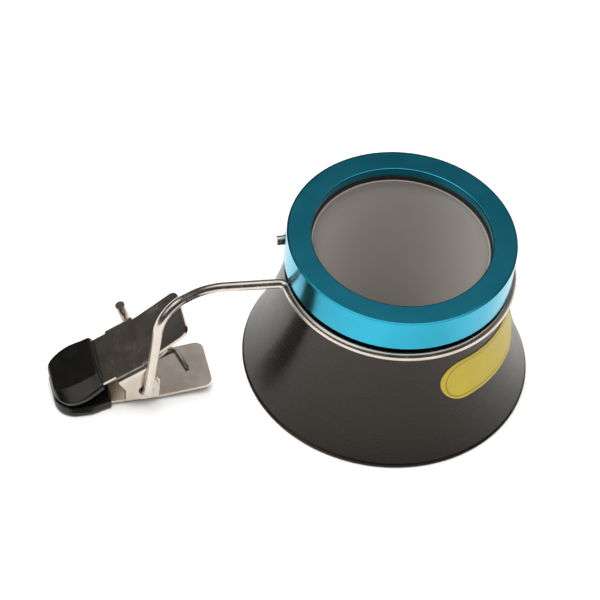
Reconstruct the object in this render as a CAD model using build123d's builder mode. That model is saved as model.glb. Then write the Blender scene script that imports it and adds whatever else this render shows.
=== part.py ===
from build123d import *
import os
from math import acos, atan2, cos, degrees, hypot, pi, radians, sin, sqrt

# Clip-on eyeglass loupe. Millimetres, +Z up along the lens axis.
# The origin is the centre of the eyecup's rim, which stands on a table.
os.makedirs("parts", exist_ok=True)

# Driving dimensions of the eyecup, a black turned cone with a wide eye rim
rim_radius = 18.0
flank_height = 15.9
flank_hollow = 0.725
neck_shoulder = 0.4
rim_wall = 0.8
rim_land = 1.0
seat_lip = 0.8
seat_ledge = 1.0

# Lens cap, a screwed ring of anodised aluminium
cap_opening_radius = 11.1
cap_face = 3.0
cap_gap = 2.0
cap_height = 4.7
cap_lip = 1.2
cap_wall = 1.1
cap_chamfer = 0.2
thread_clearance = 0.05
neck_gap = 0.2

# Lens pack: two plano-convex lenses, curved sides facing each other
lens_margin = 0.9
lens_clearance = 0.05
lens_curve_radius = 17.0
lens_edge = 1.2
lens_air_gap = 0.5
spacer_wall = 1.0
gasket_thickness = 0.5
gasket_show = 0.4
stack_clearance = 0.02

# Wire frame: one bent steel wire is the neck ring, the arm and the clip's axle
wire_radius = 0.6
ring_rise = 0.85
ring_clearance = 0.05
ring_tail_angle = 170.0
tail_bend_radius = 1.0
tail_bend_turn = 62.0
tail_length = 0.7
ring_exit_bend_radius = 1.1
axle_bend_radius = 0.85
arm_top_bend_radius = 3.2
arm_side_bend_radius = 7.5
arm_side_x = -22.6
arm_side_y = -7.97
arm_inward_heading = 16.3
arm_top_x = -27.2
arm_top_y = -13.91
arm_top_rise = 1.45
stub_forward = 1.7
stub_rise = 5.4

# Where the clip hangs: the middle of its axle, and how far it is turned about Z
axle_x = -29.77
axle_y = -10.11
axle_height = 3.3
clip_heading = -20.5

# Clip: two stamped jaws, one turning inside the other's ears
sheet = 0.4
bend_radius = 0.75
jaw_half_width = 3.5
ear_gap = 0.1
axle_clearance = 0.35
wire_to_ear = 0.2
lower_plate_depth = 2.4
lower_tip = 10.2
lower_lever = 8.7
lower_lever_start = 2.0
lower_lever_pitch = 8.0
lower_ear_front = 2.4
lower_ear_rear = 1.8
lower_ear_top = 1.75
lower_ear_round = 0.9
ear_step = 0.35
upper_pitch = 32.6
upper_plate_rise = 3.9
upper_tip = 9.4
upper_tip_start = 5.0
upper_tip_pitch = 9.0
upper_lever_start = 2.05
upper_lever_length = 7.0
upper_lever_pitch = 9.5
upper_ear_radius = 1.7
upper_ear_reach = 1.95
upper_ear_straight = 2.4
tip_corner_radius = 2.2
lever_corner_radius = 1.1

# Vinyl boots dipped over the jaws' tips, fullest at their sides and on top
boot_wall = 0.3
boot_top_wall = 0.8
boot_under_wall = 0.45
boot_side_wall = 1.1
boot_front_wall = 0.8
upper_boot_round = 0.7
lower_boot_round = 0.5
boot_swell_run = 2.6
boot_swell_radius = 5.0
upper_boot_start = 3.9
lower_boot_start = 4.1

# Torsion spring wound round the axle, with a leg under each lever
spring_wire_radius = 0.25
coil_radius = 1.35
coil_spacing = 0.95
coil_turns = 6
leg_reach = 5.2
leg_side = 3.5
leg_skew = 0.9
leg_bend_radius = 0.6
leg_clearance = 0.02

# Oval paper label on the flank
label_angle = -28.0
label_drop = 5.1
label_half_length = 7.7
label_half_height = 3.0
label_thickness = 0.1
label_glue = 0.02

# Degrees in a circle, arcs in each turn of the coil, and test points in each turn
full_turn = 360.0
arc_count = 4
point_count = 10

# Overrun of every cutting solid past the stock that it cuts
cut_over = 1.0

# Radii worked out from the cap's opening: cap, lenses, gasket, neck and flank
cap_radius = cap_opening_radius + cap_face
lens_radius = cap_opening_radius + lens_margin
bore_radius = lens_radius + lens_clearance
seat_radius = lens_radius - seat_ledge
spacer_radius = lens_radius - spacer_wall
gasket_inner_radius = cap_opening_radius - gasket_show
neck_radius = cap_radius - wire_radius - ring_clearance
thread_radius = cap_radius - cap_wall - thread_clearance
flank_top_radius = neck_radius + neck_shoulder
flank_mid_radius = (rim_radius + flank_top_radius) / 2 - flank_hollow


def lens_sag(radius):
    """How far a lens's curved face has fallen back from its middle at a radius."""
    return lens_curve_radius - sqrt(lens_curve_radius**2 - radius**2)


# Heights worked out from the top of the flank, then down the lens stack
ring_height = flank_height + ring_rise
label_height = flank_height - label_drop
cap_bottom = flank_height + cap_gap
cap_top = cap_bottom + cap_height
lip_under = cap_top - cap_lip
front_lens_top = lip_under - gasket_thickness - stack_clearance
front_lens_edge_low = front_lens_top - lens_edge
front_lens_vertex = front_lens_edge_low - lens_sag(lens_radius)
rear_lens_vertex = front_lens_vertex - lens_air_gap
rear_lens_edge_high = rear_lens_vertex - lens_sag(lens_radius)
rear_lens_flat = rear_lens_edge_high - lens_edge
lens_seat = rear_lens_flat - stack_clearance
spacer_low = rear_lens_vertex - lens_sag(spacer_radius) + stack_clearance
spacer_high = front_lens_vertex + lens_sag(spacer_radius) - stack_clearance
neck_top = lip_under - neck_gap
shoulder_height = cap_bottom - stack_clearance

print("lens stack seats at", round(lens_seat, 3), "front face at", round(front_lens_top, 3))

# Eyecup: flank, groove for the wire ring, threaded spigot, lens bore and eye cone
with BuildPart() as eyecup:
    with BuildSketch(Plane.XZ):
        with BuildLine():
            flank = ThreePointArc(
                (rim_radius, 0), (flank_mid_radius, flank_height / 2), (flank_top_radius, flank_height)
            )
            Polyline(
                flank @ 1,
                (neck_radius, flank_height),
                (neck_radius, shoulder_height),
                (thread_radius, shoulder_height),
                (thread_radius, neck_top),
                (bore_radius, neck_top),
                (bore_radius, lens_seat),
                (seat_radius, lens_seat),
                (seat_radius, lens_seat - seat_lip),
                (rim_radius - rim_wall, rim_land),
                (rim_radius - rim_wall, 0),
                flank @ 0,
            )
        make_face()
    revolve(axis=Axis.Z)
eyecup.part.label = "eyecup"
export_step(eyecup.part, "parts/eyecup.step")

# Cap: threaded skirt with a lip that holds the lens pack down
with BuildPart() as lens_cap:
    with BuildSketch(Plane.XZ):
        with BuildLine():
            Polyline(
                (cap_radius, cap_bottom),
                (cap_radius, cap_top),
                (cap_opening_radius, cap_top),
                (cap_opening_radius, lip_under),
                (cap_radius - cap_wall, lip_under),
                (cap_radius - cap_wall, cap_bottom),
                close=True,
            )
        make_face()
    revolve(axis=Axis.Z)
    top_edges = lens_cap.edges().group_by(Axis.Z)[-1]
    bottom_edge = lens_cap.edges().group_by(Axis.Z)[0].sort_by(SortBy.RADIUS)[-1]
    chamfer(top_edges + ShapeList([bottom_edge]), length=cap_chamfer)
lens_cap.part.label = "lens_cap"
export_step(lens_cap.part, "parts/lens_cap.step")

# Rubber gasket between the cap's lip and the front lens
with BuildPart() as lens_gasket:
    with BuildSketch(Plane.XY.offset(lip_under - gasket_thickness)):
        Circle(lens_radius)
        Circle(gasket_inner_radius, mode=Mode.SUBTRACT)
    extrude(amount=gasket_thickness)
lens_gasket.part.label = "lens_gasket"
export_step(lens_gasket.part, "parts/lens_gasket.step")

# Front lens: flat face up, curved face down
with BuildPart() as front_lens:
    with BuildSketch(Plane.XZ):
        with BuildLine():
            front_side = Polyline(
                (0, front_lens_vertex), (0, front_lens_top),
                (lens_radius, front_lens_top), (lens_radius, front_lens_edge_low),
            )
            RadiusArc(front_side @ 1, front_side @ 0, lens_curve_radius)
        make_face()
    revolve(axis=Axis.Z)
front_lens.part.label = "front_lens"
export_step(front_lens.part, "parts/front_lens.step")

# Rear lens: the same glass turned over, flat face towards the eye
with BuildPart() as rear_lens:
    with BuildSketch(Plane.XZ):
        with BuildLine():
            rear_side = Polyline(
                (0, rear_lens_vertex), (0, rear_lens_flat),
                (lens_radius, rear_lens_flat), (lens_radius, rear_lens_edge_high),
            )
            RadiusArc(rear_side @ 1, rear_side @ 0, -lens_curve_radius)
        make_face()
    revolve(axis=Axis.Z)
rear_lens.part.label = "rear_lens"
export_step(rear_lens.part, "parts/rear_lens.step")

# Spacer tube: its inner corners meet the curved faces of the two lenses
with BuildPart() as lens_spacer:
    with BuildSketch(Plane.XY.offset(spacer_low)):
        Circle(lens_radius)
        Circle(spacer_radius, mode=Mode.SUBTRACT)
    extrude(amount=spacer_high - spacer_low)
lens_spacer.part.label = "lens_spacer"
export_step(lens_spacer.part, "parts/lens_spacer.step")

# Label: a thin oval that follows the flank
label_plane = Plane(
    origin=(0, 0, label_height),
    x_dir=(-sin(radians(label_angle)), cos(radians(label_angle)), 0),
    z_dir=(cos(radians(label_angle)), sin(radians(label_angle)), 0),
)
with BuildPart() as flank_label:
    with BuildSketch(Plane.XZ):
        with BuildLine():
            inner = ThreePointArc(
                (rim_radius + label_glue, 0),
                (flank_mid_radius + label_glue, flank_height / 2),
                (flank_top_radius + label_glue, flank_height),
            )
            outer = ThreePointArc(
                (rim_radius + label_glue + label_thickness, 0),
                (flank_mid_radius + label_glue + label_thickness, flank_height / 2),
                (flank_top_radius + label_glue + label_thickness, flank_height),
            )
            Line(inner @ 0, outer @ 0)
            Line(inner @ 1, outer @ 1)
        make_face()
    revolve(axis=Axis.Z)
    with BuildSketch(label_plane):
        SlotOverall(2 * label_half_length, 2 * label_half_height)
    extrude(amount=rim_radius + cut_over, mode=Mode.INTERSECT)
flank_label.part.label = "flank_label"
export_step(flank_label.part, "parts/flank_label.step")

# Directions of the clip: rearwards to its levers, along its axle, and up
rear_dir = Vector(cos(radians(clip_heading)), -sin(radians(clip_heading)), 0)
axle_dir = Vector(sin(radians(clip_heading)), cos(radians(clip_heading)), 0)
up_dir = Vector(0, 0, 1)
clip_origin = Vector(axle_x, axle_y, axle_height)
side_plane = Plane(origin=clip_origin, x_dir=rear_dir, z_dir=-axle_dir)
top_plane = Plane(origin=clip_origin, x_dir=rear_dir, z_dir=up_dir)
tilt = radians(upper_pitch)
upper_rear_dir = rear_dir * cos(tilt) + up_dir * sin(tilt)
upper_up_dir = up_dir * cos(tilt) - rear_dir * sin(tilt)
upper_side_plane = Plane(origin=clip_origin, x_dir=upper_rear_dir, z_dir=-axle_dir)
upper_top_plane = Plane(origin=clip_origin, x_dir=upper_rear_dir, z_dir=upper_up_dir)
lower_cross_plane = Plane(origin=clip_origin, x_dir=axle_dir, z_dir=rear_dir)
upper_cross_plane = Plane(origin=clip_origin, x_dir=axle_dir, z_dir=upper_rear_dir)
hole_radius = wire_radius + axle_clearance
lower_ear_half_width = jaw_half_width + ear_step
upper_ear_inner = lower_ear_half_width + ear_gap
upper_ear_outer = upper_ear_inner + sheet
arm_offset = upper_ear_outer + wire_to_ear + wire_radius

# Path of the wire: stub, axle, arm, then the ring round the neck and its tail
ring_radius = neck_radius + ring_clearance + wire_radius
far_corner = clip_origin + axle_dir * arm_offset
near_corner = clip_origin - axle_dir * arm_offset
stub_top = far_corner - rear_dir * stub_forward + up_dir * stub_rise
top_corner = Vector(arm_top_x, arm_top_y, ring_height + arm_top_rise)
side_corner = Vector(arm_side_x, arm_side_y, ring_height)

# The arm comes in nearly square to the ring and turns right into it, round a circle
# that touches the ring from outside and the arm's line from its right
inward_dir = Vector(cos(radians(arm_inward_heading)), sin(radians(arm_inward_heading)), 0)
right_dir = Vector(inward_dir.Y, -inward_dir.X, 0)
offset_start = Vector(arm_side_x, arm_side_y, 0) + right_dir * ring_exit_bend_radius
along = offset_start.dot(inward_dir)
bend_reach = ring_radius + ring_exit_bend_radius
travel = -along - sqrt(along**2 - offset_start.dot(offset_start) + bend_reach**2)
bend_centre = offset_start + inward_dir * travel
ring_start_angle = degrees(atan2(bend_centre.Y, bend_centre.X)) % full_turn
ring_tangent = Vector(-sin(radians(ring_start_angle)), cos(radians(ring_start_angle)), 0)
exit_turn = degrees(acos(inward_dir.dot(ring_tangent)))
bend_start = bend_centre - right_dir * ring_exit_bend_radius + up_dir * ring_height

with BuildPart() as wire_frame:
    with BuildLine(Plane.XY) as wire_path:
        arm = FilletPolyline(
            stub_top, far_corner, near_corner, top_corner, side_corner, bend_start,
            radius=[axle_bend_radius, axle_bend_radius, arm_top_bend_radius, arm_side_bend_radius],
        )
        exit_bend = JernArc(arm @ 1, inward_dir, ring_exit_bend_radius, -exit_turn)
        ring = CenterArc(
            (0, 0, ring_height), ring_radius, ring_start_angle,
            ring_tail_angle - ring_start_angle + full_turn,
        )
        tail_bend = JernArc(ring @ 1, ring % 1, tail_bend_radius, -tail_bend_turn)
        Line(tail_bend @ 1, tail_bend @ 1 + (tail_bend % 1) * tail_length)
    with BuildSketch(Plane(origin=arm @ 0, z_dir=arm % 0)):
        Circle(wire_radius)
    sweep(path=wire_path.line)
wire_frame.part.label = "wire_frame"
export_step(wire_frame.part, "parts/wire_frame.step")
wire_length = sum(edge.length for edge in wire_path.edges())
print("wire length", round(wire_length, 2), "volume share",
      round(wire_frame.part.volume / (pi * wire_radius**2 * wire_length), 4))


def folded_strip(plane, half_width, flat, tip, front, rear):
    """A strip of sheet whose sides are folded into ears, from the flat's outside to their tips."""
    with BuildPart() as strip:
        with BuildSketch(plane.offset(-front)):
            with BuildLine():
                FilletPolyline(
                    (-half_width, tip), (-half_width, flat), (half_width, flat), (half_width, tip),
                    radius=bend_radius,
                )
                offset(amount=sheet, side=Side.RIGHT if flat > tip else Side.LEFT)
            make_face()
        extrude(amount=front + rear)
    return strip.part


# Lower jaw: a flat plate with two ears folded up, and a lever
lower_slope = radians(lower_lever_pitch)
lower_lever_rise = (lower_lever - lower_lever_start) * sin(lower_slope)
lower_bottom = -lower_plate_depth - sheet
lower_face = [
    (-lower_tip, -lower_plate_depth),
    (lower_lever_start, -lower_plate_depth),
    (lower_lever, lower_lever_rise - lower_plate_depth),
]
lower_strip = folded_strip(
    lower_cross_plane, lower_ear_half_width, lower_bottom, lower_ear_top, lower_ear_front, lower_ear_rear
)
with BuildPart() as lower_jaw:
    add(lower_strip)
    with BuildSketch(side_plane) as lower_ear:
        with Locations((-lower_ear_front, lower_ear_top)):
            Rectangle(
                lower_ear_front + lower_ear_rear, lower_ear_top - lower_bottom + cut_over,
                align=(Align.MIN, Align.MAX),
            )
        fillet(lower_ear.vertices().group_by(Axis.Y)[-1], lower_ear_round)
    extrude(amount=arm_offset, both=True, mode=Mode.INTERSECT)
    with BuildSketch(side_plane):
        with BuildLine():
            Polyline(*lower_face)
            offset(amount=sheet, side=Side.RIGHT)
        make_face()
        with Locations((-lower_ear_front, 0)):
            Rectangle(
                lower_ear_front + lower_ear_rear, 2 * (lower_plate_depth + cut_over),
                align=(Align.MIN, Align.CENTER), mode=Mode.SUBTRACT,
            )
    extrude(amount=jaw_half_width, both=True)
    lower_run = Axis(clip_origin, rear_dir)
    tip_end = lower_jaw.faces().sort_by(lower_run)[0]
    fillet(tip_end.edges().sort_by(SortBy.LENGTH)[:2], tip_corner_radius)
    lever_end = lower_jaw.faces().sort_by(lower_run)[-1]
    fillet(lever_end.edges().sort_by(SortBy.LENGTH)[:2], lever_corner_radius)
    with BuildSketch(side_plane):
        Circle(hole_radius)
    extrude(amount=arm_offset, both=True, mode=Mode.SUBTRACT)
lower_jaw.part.label = "lower_jaw"
export_step(lower_jaw.part, "parts/lower_jaw.step")

# Upper jaw: a plate pitched down to the tip, ears folded down outside the lower jaw's
tip_slope = radians(upper_tip_pitch)
lever_bend = radians(upper_lever_pitch)
tip_run = upper_tip - upper_tip_start
upper_tip_end = upper_tip_start + tip_run * cos(tip_slope)
upper_tip_rise = upper_plate_rise + tip_run * sin(tip_slope)
upper_lever_end = upper_lever_start + upper_lever_length * cos(lever_bend)
upper_face = [
    (-upper_tip_end, upper_tip_rise),
    (-upper_tip_start, upper_plate_rise),
    (upper_lever_start, upper_plate_rise),
    (upper_lever_end, upper_plate_rise + upper_lever_length * sin(lever_bend)),
]
upper_strip = folded_strip(
    upper_cross_plane, upper_ear_outer, upper_plate_rise, -upper_ear_radius, upper_ear_reach,
    upper_ear_reach,
)
with BuildPart() as upper_jaw:
    add(upper_strip)
    with BuildSketch(upper_side_plane):
        Circle(upper_ear_radius)
        with Locations((0, upper_plate_rise + cut_over)):
            Rectangle(
                2 * upper_ear_reach, upper_ear_straight + cut_over, align=(Align.CENTER, Align.MAX)
            )
        make_hull()
    extrude(amount=arm_offset, both=True, mode=Mode.INTERSECT)
    with BuildSketch(upper_side_plane):
        with BuildLine():
            Polyline(*upper_face)
            offset(amount=sheet, side=Side.RIGHT)
        make_face()
        Rectangle(2 * upper_ear_reach, 2 * (upper_plate_rise + cut_over), mode=Mode.SUBTRACT)
    extrude(amount=jaw_half_width, both=True)
    upper_run = Axis(clip_origin, upper_rear_dir)
    tip_end = upper_jaw.faces().sort_by(upper_run)[0]
    fillet(tip_end.edges().sort_by(SortBy.LENGTH)[:2], tip_corner_radius)
    lever_end = upper_jaw.faces().sort_by(upper_run)[-1]
    fillet(lever_end.edges().sort_by(SortBy.LENGTH)[:2], lever_corner_radius)
    with BuildSketch(side_plane):
        Circle(hole_radius)
    extrude(amount=arm_offset, both=True, mode=Mode.SUBTRACT)
upper_jaw.part.label = "upper_jaw"
export_step(upper_jaw.part, "parts/upper_jaw.step")


# Boots: vinyl sleeves, closed at the tip, dipped over the front of each jaw
boot_narrow = jaw_half_width + boot_wall
boot_wide = jaw_half_width + boot_side_wall


def boot_outline(plane, start, end):
    """Prism of a boot seen from above: it swells from its open end to a round tip."""
    with BuildPart() as prism:
        with BuildSketch(plane):
            with BuildLine():
                FilletPolyline(
                    (-start, boot_narrow), (-start - boot_swell_run, boot_wide), (-end, boot_wide),
                    (-end, -boot_wide), (-start - boot_swell_run, -boot_wide), (-start, -boot_narrow),
                    radius=[
                        boot_swell_radius, tip_corner_radius + boot_wall,
                        tip_corner_radius + boot_wall, boot_swell_radius,
                    ],
                )
                Line((-start, -boot_narrow), (-start, boot_narrow))
            make_face()
        extrude(amount=upper_plate_rise + upper_tip, both=True)
    return prism.part


lower_boot_end = lower_tip + boot_front_wall
lower_outline = boot_outline(top_plane, lower_boot_start, lower_boot_end)
with BuildPart() as lower_boot:
    with BuildSketch(side_plane):
        with Locations((-lower_boot_start, boot_wall - lower_plate_depth)):
            Rectangle(
                lower_boot_end - lower_boot_start, boot_wall + sheet + boot_under_wall,
                align=(Align.MAX, Align.MAX),
            )
    extrude(amount=boot_wide, both=True)
    add(lower_outline, mode=Mode.INTERSECT)
    open_end = lower_boot.faces().sort_by(lower_run)[-1]
    upright = lower_boot.edges().filter_by(Axis.Z)
    fillet(lower_boot.edges() - open_end.edges() - upright, lower_boot_round)
    add(lower_jaw.part, mode=Mode.SUBTRACT)
lower_boot.part.label = "lower_boot"
export_step(lower_boot.part, "parts/lower_boot.step")

upper_boot_end = upper_tip_end + boot_front_wall * cos(tip_slope)
upper_boot_rise = upper_tip_rise + boot_front_wall * sin(tip_slope)
upper_outline = boot_outline(upper_top_plane, upper_boot_start, upper_boot_end)
with BuildPart() as upper_boot:
    with BuildSketch(upper_side_plane):
        with BuildLine():
            Polyline(
                (-upper_boot_start, upper_plate_rise + boot_top_wall),
                (-upper_boot_end, upper_boot_rise + boot_top_wall),
                (-upper_boot_end, upper_boot_rise - sheet - boot_wall),
                (-upper_boot_start, upper_plate_rise - sheet - boot_wall),
                close=True,
            )
        make_face()
    extrude(amount=boot_wide, both=True)
    add(upper_outline, mode=Mode.INTERSECT)
    open_end = upper_boot.faces().sort_by(upper_run)[-1]
    upright = upper_boot.edges().filter_by(Axis(clip_origin, upper_up_dir))
    fillet(upper_boot.edges() - open_end.edges() - upright, upper_boot_round)
    add(upper_jaw.part, mode=Mode.SUBTRACT)
upper_boot.part.label = "upper_boot"
export_step(upper_boot.part, "parts/upper_boot.step")

# Torsion spring: leg under the upper lever, coil round the axle, leg on the lower lever
leg_lift = spring_wire_radius + leg_clearance
low_leg = (leg_reach, (leg_reach - lower_lever_start) * sin(lower_slope) - lower_plate_depth + leg_lift)
high_u = upper_lever_start + leg_side * cos(lever_bend) + leg_lift * sin(lever_bend)
high_w = upper_plate_rise - sheet + leg_side * sin(lever_bend) - leg_lift * cos(lever_bend)
high_leg = (high_u * cos(tilt) - high_w * sin(tilt), high_u * sin(tilt) + high_w * cos(tilt))
coil_start = atan2(high_leg[1], high_leg[0]) + acos(coil_radius / hypot(*high_leg))
coil_end = atan2(low_leg[1], low_leg[0]) - acos(coil_radius / hypot(*low_leg)) + 2 * pi * coil_turns
coil_length = coil_spacing * (coil_end - coil_start) / (2 * pi)


def coil_point(angle):
    """Centre of the spring wire at an angle round the axle."""
    across = coil_spacing * (angle - coil_start) / (2 * pi) - coil_length / 2
    around = rear_dir * coil_radius * cos(angle) + up_dir * coil_radius * sin(angle)
    return clip_origin + around + axle_dir * across


def coil_direction(angle):
    """Direction of the spring wire at an angle round the axle."""
    around = up_dir * coil_radius * cos(angle) - rear_dir * coil_radius * sin(angle)
    return (around + axle_dir * coil_spacing / (2 * pi)).normalized()


def biarc(start, end):
    """Two arcs that meet smoothly and follow the coil from one angle to the next."""
    first, last = coil_point(start), coil_point(end)
    leave, arrive = coil_direction(start), coil_direction(end)
    chord = last - first
    spread = chord.dot(leave + arrive)
    closing = 2 * (1 - leave.dot(arrive))
    reach = (sqrt(spread**2 + closing * chord.dot(chord)) - spread) / closing
    middle = (first + leave * reach + last - arrive * reach) / 2
    turn = (last - arrive * reach - first - leave * reach).normalized()
    TangentArc(first, middle, tangent=leave)
    TangentArc(middle, last, tangent=turn)


high_corner = coil_point(coil_start) - coil_direction(coil_start) * (
    sqrt(hypot(*high_leg)**2 - coil_radius**2)
)
low_corner = coil_point(coil_end) + coil_direction(coil_end) * (
    sqrt(hypot(*low_leg)**2 - coil_radius**2)
)
lever_dir = rear_dir * cos(lower_slope) + up_dir * sin(lower_slope)
low_tip = low_corner - axle_dir * leg_side + lever_dir * leg_skew
high_tip = high_corner + axle_dir * leg_side
arcs = arc_count * coil_turns
arc_turn = (coil_end - coil_start) / arcs
with BuildPart() as jaw_spring:
    with BuildLine() as spring_path:
        upper_leg = FilletPolyline(
            high_tip, high_corner, coil_point(coil_start), radius=[leg_bend_radius]
        )
        for index in range(arcs):
            biarc(coil_start + arc_turn * index, coil_start + arc_turn * (index + 1))
        FilletPolyline(coil_point(coil_end), low_corner, low_tip, radius=[leg_bend_radius])
    with BuildSketch(Plane(origin=upper_leg @ 0, z_dir=upper_leg % 0)):
        Circle(spring_wire_radius)
    sweep(path=spring_path.line)
jaw_spring.part.label = "jaw_spring"
export_step(jaw_spring.part, "parts/jaw_spring.step")

# Least gap of the coil to itself, between points at least half a turn apart
points = point_count * coil_turns
step = (coil_end - coil_start) / points
coil_gap = min(
    (coil_point(coil_start + step * i) - coil_point(coil_start + step * j)).length
    for i in range(points) for j in range(i + point_count // 2, points + 1)
) - 2 * spring_wire_radius
spring_length = sum(edge.length for edge in spring_path.edges())
print("coil gap to itself", round(coil_gap, 3), "spring length", round(spring_length, 2),
      "volume share", round(jaw_spring.part.volume / (pi * spring_wire_radius**2 * spring_length), 4))
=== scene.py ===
import math

import bmesh
import bpy
from mathutils import Matrix, Vector, noise


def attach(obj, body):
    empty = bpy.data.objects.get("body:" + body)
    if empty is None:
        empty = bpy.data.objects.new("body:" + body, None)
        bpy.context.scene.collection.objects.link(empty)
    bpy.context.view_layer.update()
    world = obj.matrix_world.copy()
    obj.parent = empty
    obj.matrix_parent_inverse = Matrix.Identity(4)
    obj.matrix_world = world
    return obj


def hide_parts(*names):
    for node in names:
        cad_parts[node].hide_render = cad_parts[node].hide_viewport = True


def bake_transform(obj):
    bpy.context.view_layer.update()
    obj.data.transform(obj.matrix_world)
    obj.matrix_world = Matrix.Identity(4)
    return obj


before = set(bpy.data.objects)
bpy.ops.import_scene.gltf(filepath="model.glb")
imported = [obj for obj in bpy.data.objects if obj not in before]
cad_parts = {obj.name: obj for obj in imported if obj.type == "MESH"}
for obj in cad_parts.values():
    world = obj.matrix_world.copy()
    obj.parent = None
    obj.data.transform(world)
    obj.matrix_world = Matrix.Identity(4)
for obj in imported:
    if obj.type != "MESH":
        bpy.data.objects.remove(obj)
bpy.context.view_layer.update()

MM = 0.001
TAU = 2 * math.pi

# Meshes: steps round a lathed piece and round a spring's wire, the run kept beside a rounded
# corner so that smooth shading stays flat there, and the distance at which points are merged
STEPS = 192
WIRE_SIDES = 14
GUARD = 0.04
MERGE = 0.0005

# All lengths down to the spring's are in millimetres. Those of the eyecup, cap, gasket and lenses
# are radii round the lens axis and heights over the plane that the rim stands on, as in the CAD.

# Eyecup
RIM = 18.0
RIM_INSIDE = 17.2
RIM_LAND = 1.0
FLANK_MID = 15.2
FLANK_SHOULDER = 13.85
FLANK_HEIGHT = 15.9
NECK = 13.45
GROOVE_TOP = 17.88
SPIGOT = 12.95
NECK_TOP = 21.2
BORE = 12.05
SEAT = 8.043
SEAT_BORE = 11.0
SEAT_THICKNESS = 0.8

# Lens cap
CAP = 14.1
SKIRT = 13.0
CAP_OPENING = 11.1
CAP_BOTTOM = 17.9
CAP_TOP = 22.6
LIP_UNDER = 21.4

# Thread: the heights between which it runs on the spigot and in the cap's skirt, and the height
# over which it fades out at both ends
PITCH = 0.75
THREAD_DEPTH = 0.2
THREAD_FADE = 0.3
SPIGOT_THREAD = (18.05, 21.05)
SKIRT_THREAD = (18.15, 21.25)

# Gasket and lenses: a lens's flat and curved faces both end at LENS_FACE, inside its edge
GASKET_INSIDE = 10.97
GASKET_UNDER = 20.78
LENS = 12.0
LENS_FACE = 11.85
LENS_CURVE = 17.0

# Clip: its axle's middle, the way it is turned, and the pitch of the upper jaw
AXLE = Vector((-29.77, -10.11, 3.3))
HEADING = math.radians(-20.5)
REAR = Vector((math.cos(HEADING), -math.sin(HEADING), 0))
ALONG = Vector((math.sin(HEADING), math.cos(HEADING), 0))
UP = Vector((0, 0, 1))
TILT = math.radians(32.6)
UPPER_REAR = REAR * math.cos(TILT) + UP * math.sin(TILT)
UPPER_UP = UP * math.cos(TILT) - REAR * math.sin(TILT)

# Its plates: half their width, their sheet, and how far each one's top is above the axle
PLATE_HALF = 3.5
SHEET = 0.4
UPPER_PLATE = 3.9
LOWER_PLATE = -2.4

# Spring: its wire's and coil's radius, from turn to turn, and from a lever to its leg's middle
SPRING_WIRE = 0.25
SPRING_COIL = 1.35
SPRING_SPACING = 0.95
SPRING_TURNS = 6
LEG_LIFT = 0.27

# Label, in metres: the way that it faces, the flank's radius and the height at its middle, half
# of its straight run, and how far the border line is from the middle line
LABEL_ANGLE = math.radians(-28)
LABEL_RADIUS = 0.0149
LABEL_HEIGHT = 0.0108
LABEL_STRAIGHT = 0.0050
LABEL_BORDER = 0.00255

# Painted highlight line on the front glass, just inside the gasket, in metres from the lens axis
GLASS_HIGHLIGHT_RING = (0.01078, 0.01084)

# Soft sky: direction, angles in degrees where a patch is full and gone, and its strength
SKY_BASE = 0.07
SKY = [
    ((0, 0.2, 1), 12, 34, 1.35),
    ((0.8, 0.6, 0.0), 10, 50, 0.3),
    ((-0.45, -0.25, 0.86), 8, 24, 1.2),
]


def make_camera():
    """The photograph's camera, from the fit to the cap, opening, rim and flank."""
    camera = bpy.data.objects.new("camera", bpy.data.cameras.new("camera"))
    bpy.context.scene.collection.objects.link(camera)
    right = Vector((0.98785085, 0.13207875, 0.08188963))
    up = Vector((-0.15330845, 0.74198475, 0.6526524))
    back = Vector((0.02544066, -0.6572776, 0.75321905))
    turn = Matrix((right, up, back)).transposed().to_4x4()
    place = Vector((0, -294.3947, 345.4519)) * MM
    camera.matrix_world = Matrix.Translation(place) @ turn
    camera.data.lens = 216
    camera.data.sensor_width = 36
    camera.data.clip_start = 0.01
    camera.data.clip_end = 20
    bpy.context.scene.camera = camera


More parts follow.
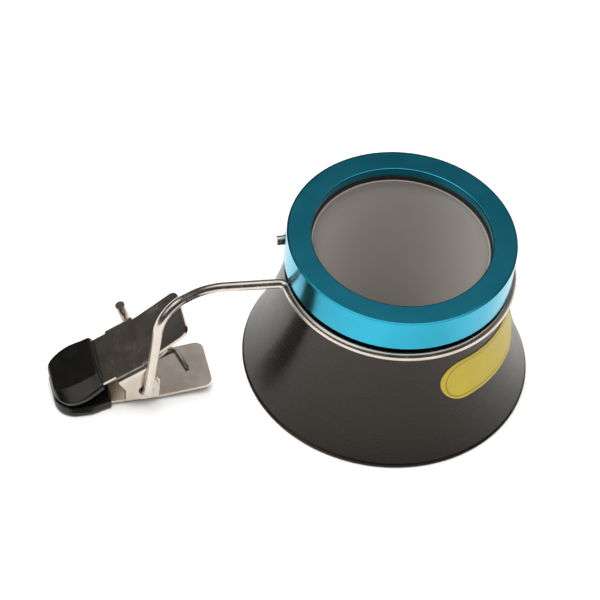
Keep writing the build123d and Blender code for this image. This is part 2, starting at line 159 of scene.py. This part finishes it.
class Nodes:
    """A material with one Principled shader, and short calls to build what feeds it.

    color and rough are its plain values, for viewers that don't read what feeds them.
    """

    def __init__(self, name, color, rough, metal=0.0):
        self.mat = bpy.data.materials.new(name)
        self.mat.use_nodes = True
        self.tree = self.mat.node_tree
        self.shader = self.tree.nodes["Principled BSDF"]
        self.put("Base Color", (*color, 1))
        self.put("Roughness", rough)
        self.put("Metallic", metal)
        self.place = self.new("ShaderNodeTexCoord").outputs["Object"]

    def new(self, kind, **settings):
        node = self.tree.nodes.new(kind)
        for key, value in settings.items():
            setattr(node, key, value)
        return node

    def feed(self, node, index, value):
        """Links a socket to a node's input, or sets the input to a number or colour."""
        if isinstance(value, bpy.types.NodeSocket):
            self.tree.links.new(value, node.inputs[index])
        else:
            node.inputs[index].default_value = value

    def put(self, socket, value):
        self.feed(self.shader, socket, value)

    def calc(self, kind, a, b=0.0):
        node = self.new("ShaderNodeMath", operation=kind)
        self.feed(node, 0, a)
        self.feed(node, 1, b)
        return node.outputs[0]

    def add(self, a, b):
        return self.calc("ADD", a, b)

    def times(self, a, b):
        return self.calc("MULTIPLY", a, b)

    def mix(self, fac, a, b):
        """Mixes two colours, each a socket or a tuple."""
        node = self.new("ShaderNodeMix", data_type="RGBA")
        self.feed(node, 0, fac)
        self.feed(node, 6, (*a, 1) if isinstance(a, tuple) else a)
        self.feed(node, 7, (*b, 1) if isinstance(b, tuple) else b)
        return node.outputs[2]

    def ramp(self, fac, low, high, a, b):
        """Maps fac from low..high to a..b, as numbers or as colours."""
        colors = isinstance(a, tuple)
        ends = (0.0, 1.0) if colors else (a, b)
        node = self.new("ShaderNodeMapRange")
        for index, value in enumerate((fac, low, high, *ends)):
            self.feed(node, index, value)
        return self.mix(node.outputs[0], a, b) if colors else node.outputs[0]

    def noise(self, scale, detail, place=None):
        node = self.new("ShaderNodeTexNoise")
        self.feed(node, "Vector", place or self.place)
        self.feed(node, "Scale", scale)
        self.feed(node, "Detail", detail)
        return node.outputs["Fac"]

    def stretch(self, scale, turn):
        """Object coordinates turned and scaled on each axis, for grain that runs one way."""
        node = self.new("ShaderNodeMapping")
        self.feed(node, "Vector", self.place)
        self.feed(node, "Rotation", turn)
        self.feed(node, "Scale", scale)
        return node.outputs["Vector"]

    def parts(self):
        """The x, y and z of the object coordinates, in metres."""
        node = self.new("ShaderNodeSeparateXYZ")
        self.feed(node, 0, self.place)
        return node.outputs

    def length(self, a, b):
        """The distance that two sides at right angles span."""
        return self.calc("SQRT", self.add(self.times(a, a), self.times(b, b)))

    def rings(self, value, scale):
        """Fine lines that follow one value, such as turning marks along a radius or height."""
        node = self.new("ShaderNodeTexNoise", noise_dimensions="1D")
        self.feed(node, "W", self.times(value, scale))
        self.feed(node, "Scale", 1.0)
        self.feed(node, "Detail", 3.0)
        return node.outputs["Fac"]

    def turned(self, amount):
        """Stretches highlights across the turning marks of a lathe."""
        node = self.new("ShaderNodeTangent", direction_type="RADIAL", axis="Z")
        self.put("Tangent", node.outputs[0])
        self.put("Anisotropic", amount)
        self.put("Anisotropic Rotation", 0.25)

    def bump(self, height, distance, strength):
        node = self.new("ShaderNodeBump")
        self.feed(node, "Height", height)
        self.feed(node, "Distance", distance)
        self.feed(node, "Strength", strength)
        self.put("Normal", node.outputs["Normal"])


def teal_anodised():
    """Anodised aluminium with turning marks on the cap's top and side."""
    m = Nodes("teal_anodised", (0.02, 0.3, 0.42), 0.2, 1.0)
    x, y, height = m.parts()
    lines = m.rings(m.add(m.length(x, y), height), 9000)
    cloud = m.noise(220, 3)
    worn = m.add(lines, m.times(cloud, 0.4))
    m.put("Base Color", m.ramp(cloud, 0.3, 0.7, (0.026, 0.345, 0.495), (0.036, 0.38, 0.545)))
    m.put("Roughness", m.ramp(worn, 0.4, 1.0, 0.14, 0.24))
    m.bump(lines, 0.000004, 0.25)
    return m.mat


def black_satin():
    """The eyecup's satin black, turned, with a faint warm gloss."""
    m = Nodes("black_satin", (0.008, 0.007, 0.006), 0.3)
    _, _, height = m.parts()
    lines = m.rings(height, 6000)
    cloud = m.noise(160, 4)
    grain = m.noise(9000, 2)
    tone = m.ramp(cloud, 0.3, 0.7, (0.0022, 0.0019, 0.0016), (0.0036, 0.0031, 0.0026))
    m.put("Base Color", tone)
    m.put("Roughness", m.ramp(m.add(lines, cloud), 0.7, 1.3, 0.24, 0.3))
    m.put("IOR", 1.46)
    m.put("Specular Tint", (1, 0.89, 0.8, 1))
    m.turned(0.8)
    m.bump(m.add(lines, m.times(grain, 0.6)), 0.000004, 0.025)
    return m.mat


def coated_glass():
    """Glass over the dark eyecup, with painted light: its grey is a painted view of the shaded cup
    through it, painted lighter to the back and the sides, and a painted highlight line runs just
    inside the gasket.
    """
    m = Nodes("coated_glass", (0.17, 0.155, 0.14), 0.03)
    x, y, _ = m.parts()
    # Painted light: the glass is painted lighter towards both sides, the right more, and towards
    # the back
    sides = m.add(m.times(m.times(x, x), 1500.0), m.times(x, 4.0))
    cloud = m.times(m.noise(90, 2), 0.05)
    tone = m.add(m.add(sides, m.times(y, 6.0)), cloud)
    # Painted shade: this dark-to-light grey stands in for the shaded cup seen through the glass
    face = m.ramp(tone, -0.1, 0.2, (0.052, 0.048, 0.044), (0.235, 0.214, 0.196))
    # Painted highlight: a thin light line on the glass just inside the gasket
    edge = m.ramp(m.length(x, y), *GLASS_HIGHLIGHT_RING, 0.0, 1.0)
    m.put("Base Color", m.mix(edge, face, (0.42, 0.4, 0.38)))
    m.put("IOR", 1.52)
    m.put("Coat Weight", 0.5)
    m.put("Coat Roughness", 0.02)
    m.put("Transmission Weight", 0.25)
    return m.mat


def black_rubber():
    m = Nodes("black_rubber", (0.008, 0.008, 0.008), 0.6)
    grain = m.noise(3000, 3)
    m.put("Base Color", m.ramp(grain, 0.3, 0.7, (0.006, 0.006, 0.006), (0.014, 0.013, 0.012)))
    m.put("Roughness", m.ramp(grain, 0.3, 0.7, 0.3, 0.5))
    m.bump(grain, 0.00001, 0.4)
    return m.mat


def yellow_paper():
    """Coated paper with a plain border line, which follows the label's outline on the flank."""
    m = Nodes("yellow_paper", (0.75, 0.62, 0.06), 0.35)
    x, y, height = m.parts()
    angle = m.calc("SUBTRACT", m.calc("ARCTAN2", y, x), LABEL_ANGLE)
    across = m.calc("ABSOLUTE", m.times(angle, LABEL_RADIUS))
    past = m.calc("MAXIMUM", m.calc("SUBTRACT", across, LABEL_STRAIGHT), 0.0)
    rise = m.calc("SUBTRACT", height, LABEL_HEIGHT)
    off_line = m.calc("ABSOLUTE", m.calc("SUBTRACT", m.length(past, rise), LABEL_BORDER))
    line = m.ramp(off_line, 0.00007, 0.00012, 0.75, 0.0)
    cloud = m.noise(420, 4)
    paper = m.ramp(cloud, 0.25, 0.75, (0.49, 0.37, 0.02), (0.57, 0.445, 0.035))
    m.put("Base Color", m.mix(line, paper, (0.2, 0.14, 0.012)))
    m.put("Roughness", m.ramp(cloud, 0.3, 0.7, 0.35, 0.5))
    m.put("IOR", 1.4)
    m.bump(m.noise(700, 3), 0.00003, 0.2)
    return m.mat


def metal(name, dark, light, smooth, rough, scale, strength):
    """Bright steel: cloudy tone between two colours, and fine scratches that run both ways."""
    m = Nodes(name, light, rough, 1.0)
    cloud = m.noise(scale, 4)
    along = m.noise(900, 3, m.stretch((1, 14, 14), (0, 0, 0.36)))
    across = m.noise(1100, 3, m.stretch((16, 1, 16), (0, 0, 0.2)))
    marks = m.calc("MAXIMUM", along, across)
    m.put("Base Color", m.ramp(cloud, 0.3, 0.7, dark, light))
    m.put("Roughness", m.ramp(m.add(cloud, marks), 0.9, 1.4, smooth, rough))
    m.bump(m.add(m.times(cloud, 2.0), marks), 0.000006, strength)
    return m.mat


def black_vinyl():
    """Dipped vinyl: glossy, with the slow waves of a dipped skin."""
    m = Nodes("black_vinyl", (0.004, 0.004, 0.004), 0.16)
    wave = m.noise(260, 2)
    tone = m.ramp(m.noise(900, 3), 0.3, 0.7, (0.003, 0.003, 0.003), (0.006, 0.0055, 0.005))
    m.put("Base Color", tone)
    m.put("Roughness", m.ramp(wave, 0.3, 0.7, 0.16, 0.26))
    m.put("IOR", 1.45)
    m.bump(wave, 0.00008, 0.3)
    return m.mat


def floor_white():
    m = Nodes("floor_white", (0.9, 0.9, 0.9), 0.8)
    m.put("Base Color", m.ramp(m.noise(4, 2), 0.3, 0.7, (0.88, 0.88, 0.88), (0.92, 0.92, 0.92)))
    return m.mat


def dress(node, material):
    """Gives a CAD node its material."""
    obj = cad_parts[node]
    obj.data.materials.clear()
    obj.data.materials.append(material)


def piece(name, mesh, material, node, body=None):
    """Makes an object of a bmesh in millimetres, which stands for a CAD node, riding on a body."""
    bmesh.ops.remove_doubles(mesh, verts=mesh.verts, dist=MERGE)
    bmesh.ops.recalc_face_normals(mesh, faces=mesh.faces)
    bmesh.ops.scale(mesh, vec=(MM, MM, MM), verts=mesh.verts)
    data = bpy.data.meshes.new(name)
    mesh.to_mesh(data)
    mesh.free()
    for polygon in data.polygons:
        polygon.use_smooth = True
    data.materials.append(material)
    obj = bpy.data.objects.new(name, data)
    bpy.context.scene.collection.objects.link(obj)
    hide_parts(node)
    if body:
        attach(obj, body)
    return obj


def bridge(mesh, rows, closed):
    """Faces between rows of as many vertices each; closed joins the last row to the first."""
    pairs = zip(rows, rows[1:] + rows[:1]) if closed else zip(rows, rows[1:])
    for low, high in pairs:
        for i in range(len(low)):
            j = (i + 1) % len(low)
            mesh.faces.new((low[i], low[j], high[j], high[i]))


def arc(before, here, after, radius, steps):
    """Points that round the corner at here, and how far from the corner they start and end."""
    back, ahead = (before - here).normalized(), (after - here).normalized()
    half = math.acos(max(-1.0, min(1.0, back.dot(ahead)))) / 2
    reach = radius / math.tan(half)
    centre = here + (back + ahead).normalized() * radius / math.sin(half)
    first, last = here + back * reach - centre, here + ahead * reach - centre
    points = []
    for k in range(steps + 1):
        share = k / steps
        points.append(centre + (first * (1 - share) + last * share).normalized() * radius)
    return points, reach


def softened(outline, steps=5, guard=GUARD):
    """Rounds the corners of a closed outline of (radius, height, rounding) points."""
    result = []
    corners = [Vector(point[:2]) for point in outline]
    for i, here in enumerate(corners):
        rounding = outline[i][2]
        if not rounding:
            result.append(here)
            continue
        before, after = corners[i - 1], corners[(i + 1) % len(corners)]
        points, reach = arc(before, here, after, rounding, steps)
        result.append(here + (before - here).normalized() * (reach + guard))
        result += points
        result.append(here + (after - here).normalized() * (reach + guard))
    return result


def open_run(*outline):
    """Rounds the corners of an open outline, whose first and last points only set directions."""
    return softened(outline)[1:-1]


def levels(radius, low, high):
    """Points along a straight wall, close enough to carry a thread."""
    count = round(abs(high - low) / (PITCH / 8))
    return [Vector((radius, low + (high - low) * i / count)) for i in range(count + 1)]


def thread(low, high, root, crest):
    """A helical thread between two heights, whose depth fades out at both ends."""
    near = 0.001

    def ridge(r, z, angle):
        if not (low < z < high and min(root, crest) - near <= r <= max(root, crest) + near):
            return r
        turn = (z / PITCH - angle / TAU) % 1.0
        tooth = 1 - abs(2 * turn - 1)
        fade = min(1.0, (z - low) / THREAD_FADE, (high - z) / THREAD_FADE)
        return crest + (root - crest) * (1 - tooth) * fade
    return ridge


def lathe(outline, ridge=None):
    """Turns a closed outline round Z; ridge, if given, changes a point's radius by angle."""
    mesh = bmesh.new()
    rows = []
    for k in range(STEPS):
        angle = TAU * k / STEPS
        row = []
        for r, z in outline:
            radius = ridge(r, z, angle) if ridge else r
            row.append(mesh.verts.new((radius * math.cos(angle), radius * math.sin(angle), z)))
        rows.append(row)
    bridge(mesh, rows, True)
    return mesh


def flank():
    """The eyecup's hollow outside: a circle through its rim, its middle and its shoulder."""
    a = Vector((RIM, 0))
    b = Vector((FLANK_MID, FLANK_HEIGHT / 2))
    c = Vector((FLANK_SHOULDER, FLANK_HEIGHT))
    d = 2 * (a.x * (b.y - c.y) + b.x * (c.y - a.y) + c.x * (a.y - b.y))
    sa, sb, sc = a.length_squared, b.length_squared, c.length_squared
    x = (sa * (b.y - c.y) + sb * (c.y - a.y) + sc * (a.y - b.y)) / d
    y = (sa * (c.x - b.x) + sb * (a.x - c.x) + sc * (b.x - a.x)) / d
    reach = (a - Vector((x, y))).length
    first, last, count = 0.2, FLANK_HEIGHT - 0.18, 40
    heights = [first + (last - first) * i / count for i in range(count + 1)]
    return [Vector((x - math.sqrt(reach**2 - (z - y) ** 2), z)) for z in heights]


def make_eyecup(material):
    rim = open_run(
        (RIM_INSIDE, RIM_LAND, 0), (RIM_INSIDE, 0, 0.2), (RIM, 0, 0.12), (RIM - 0.17, 0.4, 0),
    )
    shoulder = open_run(
        (FLANK_SHOULDER + 0.02, FLANK_HEIGHT - 0.3, 0), (FLANK_SHOULDER, FLANK_HEIGHT, 0.12),
        (NECK, FLANK_HEIGHT, 0),
    )
    groove = open_run(
        (FLANK_SHOULDER, FLANK_HEIGHT, 0), (NECK, FLANK_HEIGHT, 0.1), (NECK, GROOVE_TOP, 0.1),
        (SPIGOT, GROOVE_TOP, 0.06), (SPIGOT, NECK_TOP, 0),
    )
    spigot = levels(SPIGOT, *SPIGOT_THREAD)
    inside = open_run(
        (SPIGOT, GROOVE_TOP, 0), (SPIGOT, NECK_TOP, 0.08), (BORE, NECK_TOP, 0.08),
        (BORE, SEAT, 0.03), (SEAT_BORE, SEAT, 0.1), (SEAT_BORE, SEAT - SEAT_THICKNESS, 0.1),
        (RIM_INSIDE, RIM_LAND, 0.15), (RIM_INSIDE, 0, 0),
    )
    outline = rim + flank() + shoulder + groove + spigot + inside
    mesh = lathe(outline, thread(*SPIGOT_THREAD, SPIGOT - THREAD_DEPTH, SPIGOT))
    piece("eyecup_turned", mesh, material, "eyecup", "eyecup")


def make_cap(material):
    low, high = SKIRT_THREAD
    outside = open_run(
        (SKIRT, LIP_UNDER, 0), (SKIRT, CAP_BOTTOM, 0.15), (CAP, CAP_BOTTOM, 0.2),
        (CAP, CAP_TOP - 0.07, 0.04), (CAP - 0.2, CAP_TOP, 0.06), (CAP_OPENING, CAP_TOP, 0.16),
        (CAP_OPENING, LIP_UNDER, 0.08), (SKIRT, LIP_UNDER, 0),
    )
    inside = open_run(
        (CAP_OPENING, LIP_UNDER, 0), (SKIRT, LIP_UNDER, 0.05), (SKIRT, CAP_BOTTOM, 0),
    )
    outline = outside + inside + levels(SKIRT, high, low)
    mesh = lathe(outline, thread(low, high, SKIRT + THREAD_DEPTH, SKIRT))
    piece("lens_cap_turned", mesh, material, "lens_cap", "cap")


def make_gasket(material):
    outline = softened([
        (GASKET_INSIDE, GASKET_UNDER, 0.08), (LENS, GASKET_UNDER, 0.1),
        (LENS, LIP_UNDER, 0.1), (GASKET_INSIDE, LIP_UNDER, 0.15),
    ])
    piece("gasket_ring", lathe(outline), material, "lens_gasket", "gasket")


def make_lens(name, node, flat, edge, vertex, material):
    """A plano-convex lens with ground bevels; its curved face runs from the edge to the vertex."""
    way = 1 if vertex > edge else -1
    steps = 20
    outline = [
        (0, flat), (LENS_FACE - 0.35, flat), (LENS_FACE, flat),
        (LENS, flat + way * 0.12), (LENS, edge - way * 0.06),
    ]
    for i in range(steps, -1, -1):
        r = LENS_FACE * i / steps
        outline.append((r, vertex - way * (LENS_CURVE - math.sqrt(LENS_CURVE**2 - r**2))))
    mesh = lathe([Vector(point) for point in outline])
    piece(name, mesh, material, node, "eyecup")


def clip_point(u, v, w, upper=False):
    """A point in the clip's own directions: rearwards, along the axle and up."""
    rear, up = (UPPER_REAR, UPPER_UP) if upper else (REAR, UP)
    return AXLE + rear * u + ALONG * v + up * w


def boot_section(near, far, thick, flat):
    """A boot's section: top flat over a share of its near half, then sloped; square underside."""
    small = thick / 0.75
    sharp, blunt = 0.2 * small, 0.3 * small
    shoulder = (0.9 if flat < 0.8 else 0.25) * small
    level = -0.05 * small
    far_top = far - 0.35 * small
    near_top = near * flat
    top = [(far_top - (far_top + near_top) * i / 6, thick, 0) for i in range(1, 6)]
    under = [((far + near) * i / 6 - near, -thick, 0) for i in range(1, 6)]
    corners = [(far_top, thick, sharp)] + top + [(-near_top, thick, shoulder)]
    corners += [(-near, level, blunt), (-near, -thick, sharp)] + under
    corners += [(far, -thick, sharp), (far, level, blunt)]
    return softened(corners, 6, 0.03 * small)


def tip(radius, to_tip):
    """How far a side that ends in a round tip has drawn in, at a distance from the tip."""
    if to_tip >= radius:
        return 0.0
    return math.sqrt(max(0.0, radius**2 - (radius - to_tip) ** 2)) - radius


def make_boot(name, node, body, material, start, end, top, bottom, slope, flat, seed):
    """A dipped vinyl boot: rings from its open end, swelling to full width, to its round tip.

    start and end are distances in front of the axle, and top and bottom are heights over it. The
    boot slopes past slope_start, and its top is flat over a share of its near half.
    """
    upper = body == "upper_jaw"
    up = UPPER_UP if upper else UP
    plate = UPPER_PLATE if upper else LOWER_PLATE
    open_half, full_half = 3.95, 4.6
    swell_run, far_swell, slope_start = 2.9, 0.3, 5.0
    near_tip, far_tip, far_share, nose = 2.7, 4.6, 0.62, 0.75
    lip_run, lip_thinner, lip_narrower = 0.2, 0.14, 0.08
    wave_scale, wave_height, wave_fade = 0.55, 0.06, 1.5
    stations, crowding = 60, 1.6

    half_thick = (top - bottom) / 2
    level = (top + bottom) / 2
    mesh = bmesh.new()
    inner = []
    rows = []
    for i in range(stations + 1):
        run = (end - start) * (1 - (1 - i / stations) ** crowding)
        to_tip = end - start - run
        swell = min(1.0, run / swell_run)
        lip = 1 - math.sin(min(1.0, (run + 0.02) / lip_run) * math.pi / 2)
        near = open_half + (full_half - open_half) * swell * swell * (3 - 2 * swell)
        far = open_half + (full_half - open_half) * far_swell * swell
        near += tip(near_tip, to_tip) - lip_narrower * lip
        far += tip(far_tip, to_tip) * far_share - lip_narrower * lip
        middle = level + slope * max(0.0, run + start - slope_start)
        thick = half_thick * (1 - lip_thinner * lip)
        if to_tip < nose:
            thick *= math.sqrt(max(0.001, 1 - ((nose - to_tip) / nose) ** 2))
        row = []
        for v, w in boot_section(near, far, thick, flat):
            place = clip_point(-(start + run), v, middle + w, upper)
            if w > 0:
                wave = noise.noise(place * wave_scale + Vector((seed, 0, 0))) * wave_height
                place += up * wave * min(1.0, to_tip / wave_fade)
            row.append(mesh.verts.new(place))
        rows.append(row)
    for v, w in boot_section(open_half, open_half, half_thick, flat):
        v = min(PLATE_HALF, max(-PLATE_HALF, v))
        w = min(plate, max(plate - SHEET, level + w))
        inner.append(mesh.verts.new(clip_point(-start, v, w, upper)))
    bridge(mesh, [inner] + rows, False)
    mesh.faces.new(rows[-1])
    piece(name, mesh, material, node, body)


def tube(points):
    """The spring's round wire through points, with flat ends."""
    mesh = bmesh.new()
    rows = []
    side = None
    for i, here in enumerate(points):
        ahead = (points[min(i + 1, len(points) - 1)] - points[max(i - 1, 0)]).normalized()
        side = (side - ahead * side.dot(ahead) if side else ahead.orthogonal()).normalized()
        across = ahead.cross(side)
        row = []
        for k in range(WIRE_SIDES):
            angle = TAU * k / WIRE_SIDES
            out = side * math.cos(angle) + across * math.sin(angle)
            row.append(mesh.verts.new(here + out * SPRING_WIRE))
        rows.append(row)
    bridge(mesh, rows, False)
    mesh.faces.new(rows[0])
    mesh.faces.new(rows[-1])
    return mesh


def leg(before, corner, after):
    """A spring leg's path: two straight runs with a rounded corner between."""
    return [before] + arc(before, corner, after, 0.6, 8)[0] + [after]


def make_spring(material):
    """The torsion spring: a leg on each jaw, and the coil between."""
    lower_pitch, upper_pitch = math.radians(8.0), math.radians(9.5)
    lower_start, upper_start = 2.0, 2.05
    lower_touch, upper_run = 5.2, 3.5
    leg_across, leg_foot = 3.5, 0.9

    # Where each leg lies on its lever, behind the axle and above it
    low_rise = (lower_touch - lower_start) * math.sin(lower_pitch)
    low = (lower_touch, low_rise + LOWER_PLATE + LEG_LIFT)
    u = upper_start + upper_run * math.cos(upper_pitch) + LEG_LIFT * math.sin(upper_pitch)
    w = UPPER_PLATE - SHEET + upper_run * math.sin(upper_pitch) - LEG_LIFT * math.cos(upper_pitch)
    high = (u * math.cos(TILT) - w * math.sin(TILT), u * math.sin(TILT) + w * math.cos(TILT))

    # The coil runs between the angles where the two legs leave it in a straight line
    start = math.atan2(high[1], high[0]) + math.acos(SPRING_COIL / math.hypot(*high))
    stop = math.atan2(low[1], low[0]) - math.acos(SPRING_COIL / math.hypot(*low))
    stop += TAU * SPRING_TURNS
    length = SPRING_SPACING * (stop - start) / TAU

    def point(angle):
        across = SPRING_SPACING * (angle - start) / TAU - length / 2
        return clip_point(SPRING_COIL * math.cos(angle), across, SPRING_COIL * math.sin(angle))

    def heading(angle):
        return (point(angle + 0.001) - point(angle - 0.001)).normalized()

    def straight(place):
        return math.sqrt(math.hypot(*place) ** 2 - SPRING_COIL**2)

    count = 240
    turns = [point(start + (stop - start) * i / count) for i in range(count + 1)]
    high_corner = turns[0] - heading(start) * straight(high)
    low_corner = turns[-1] + heading(stop) * straight(low)
    foot = (REAR * math.cos(lower_pitch) + UP * math.sin(lower_pitch)) * leg_foot
    upper = leg(high_corner + ALONG * leg_across, high_corner, turns[0])
    lower = leg(turns[-1], low_corner, low_corner - ALONG * leg_across + foot)

    slot, node = "spring_steel", "jaw_spring"
    piece("spring_upper_leg", tube(upper), material, node, "upper_jaw")
    piece("spring_lower_leg", tube(lower), material, node, "clip")
    coil = piece("spring_coil", tube(turns), material, node)
    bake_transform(coil)


def make_floor():
    floor = bpy.data.objects.new("floor", bpy.data.meshes.new("floor"))
    side = 4.0
    corners = [(-side, -side, 0), (side, -side, 0), (side, side, 0), (-side, side, 0)]
    floor.data.from_pydata(corners, [], [(0, 1, 2, 3)])
    floor.location.z = -0.0001
    bpy.context.scene.collection.objects.link(floor)
    floor.data.materials.append(floor_white())


def make_sky():
    """A dim, warm white sky with a few soft bright patches, which gloss reflects."""
    world = bpy.data.worlds.new("world")
    bpy.context.scene.world = world
    world.use_nodes = True
    nodes, link = world.node_tree.nodes, world.node_tree.links.new
    way = nodes.new("ShaderNodeTexCoord").outputs["Generated"]
    total = None
    for direction, inner, outer, level in SKY:
        near = nodes.new("ShaderNodeVectorMath")
        near.operation = "DOT_PRODUCT"
        link(way, near.inputs[0])
        near.inputs[1].default_value = Vector(direction).normalized()
        patch = nodes.new("ShaderNodeMapRange")
        patch.interpolation_type = "SMOOTHSTEP"
        link(near.outputs["Value"], patch.inputs["Value"])
        ends = (math.cos(math.radians(outer)), math.cos(math.radians(inner)), 0, level)
        for socket, value in zip(("From Min", "From Max", "To Min", "To Max"), ends):
            patch.inputs[socket].default_value = value
        sum_up = nodes.new("ShaderNodeMath")
        sum_up.operation = "ADD"
        link(patch.outputs["Result"], sum_up.inputs[0])
        if total:
            link(total, sum_up.inputs[1])
        else:
            sum_up.inputs[1].default_value = SKY_BASE
        total = sum_up.outputs[0]
    nodes["Background"].inputs["Color"].default_value = (1, 0.98, 0.96, 1)
    link(total, nodes["Background"].inputs["Strength"])


def add_light(name, place, size, power):
    """A soft area light that points at the loupe and shows in no reflection."""
    light = bpy.data.lights.new(name, "AREA")
    light.shape = "RECTANGLE"
    light.size, light.size_y = size
    light.energy = power
    light.color = (1, 0.99, 0.97)
    obj = bpy.data.objects.new(name, light)
    obj.visible_glossy = False
    obj.location = place
    obj.rotation_mode = "QUATERNION"
    obj.rotation_quaternion = (Vector((0, 0, 0.01)) - Vector(place)).to_track_quat("-Z", "Y")
    bpy.context.scene.collection.objects.link(obj)


make_camera()
rubber = black_rubber()
glass = coated_glass()
vinyl = black_vinyl()
nickel = metal("nickel_sheet", (0.55, 0.49, 0.425), (0.68, 0.61, 0.54), 0.18, 0.3, 380, 0.35)
wire = metal("bright_wire", (0.54, 0.49, 0.43), (0.68, 0.62, 0.56), 0.2, 0.32, 500, 0.2)
spring = metal("spring_steel", (0.52, 0.47, 0.41), (0.66, 0.6, 0.53), 0.38, 0.5, 700, 0.3)

make_eyecup(black_satin())
make_cap(teal_anodised())
make_gasket(rubber)
make_lens("front_lens_ground", "front_lens", 20.76, 19.68, 14.73, glass)
make_lens("rear_lens_ground", "rear_lens", 8.063, 9.263, 14.23, glass)
make_boot(
    "upper_boot_dipped", "upper_boot", "upper_jaw", vinyl,
    start=3.9, end=10.08, top=4.7, bottom=3.2, slope=math.tan(math.radians(9)), flat=0.55, seed=0,
)
make_boot(
    "lower_boot_dipped", "lower_boot", "clip", vinyl,
    start=4.1, end=11.0, top=-2.1, bottom=-3.25, slope=0, flat=0.93, seed=7,
)
make_spring(spring)
dress("lens_spacer", rubber)
dress("flank_label", yellow_paper())
dress("wire_frame", wire)
dress("lower_jaw", nickel)
dress("upper_jaw", nickel)

make_floor()
make_sky()
add_light("front", (0.05, -0.3, 0.95), (0.8, 0.7), 10.2)
add_light("back", (-0.4, 0.5, 0.6), (0.5, 0.5), 4.5)

bpy.context.scene.view_settings.view_transform = "Standard"
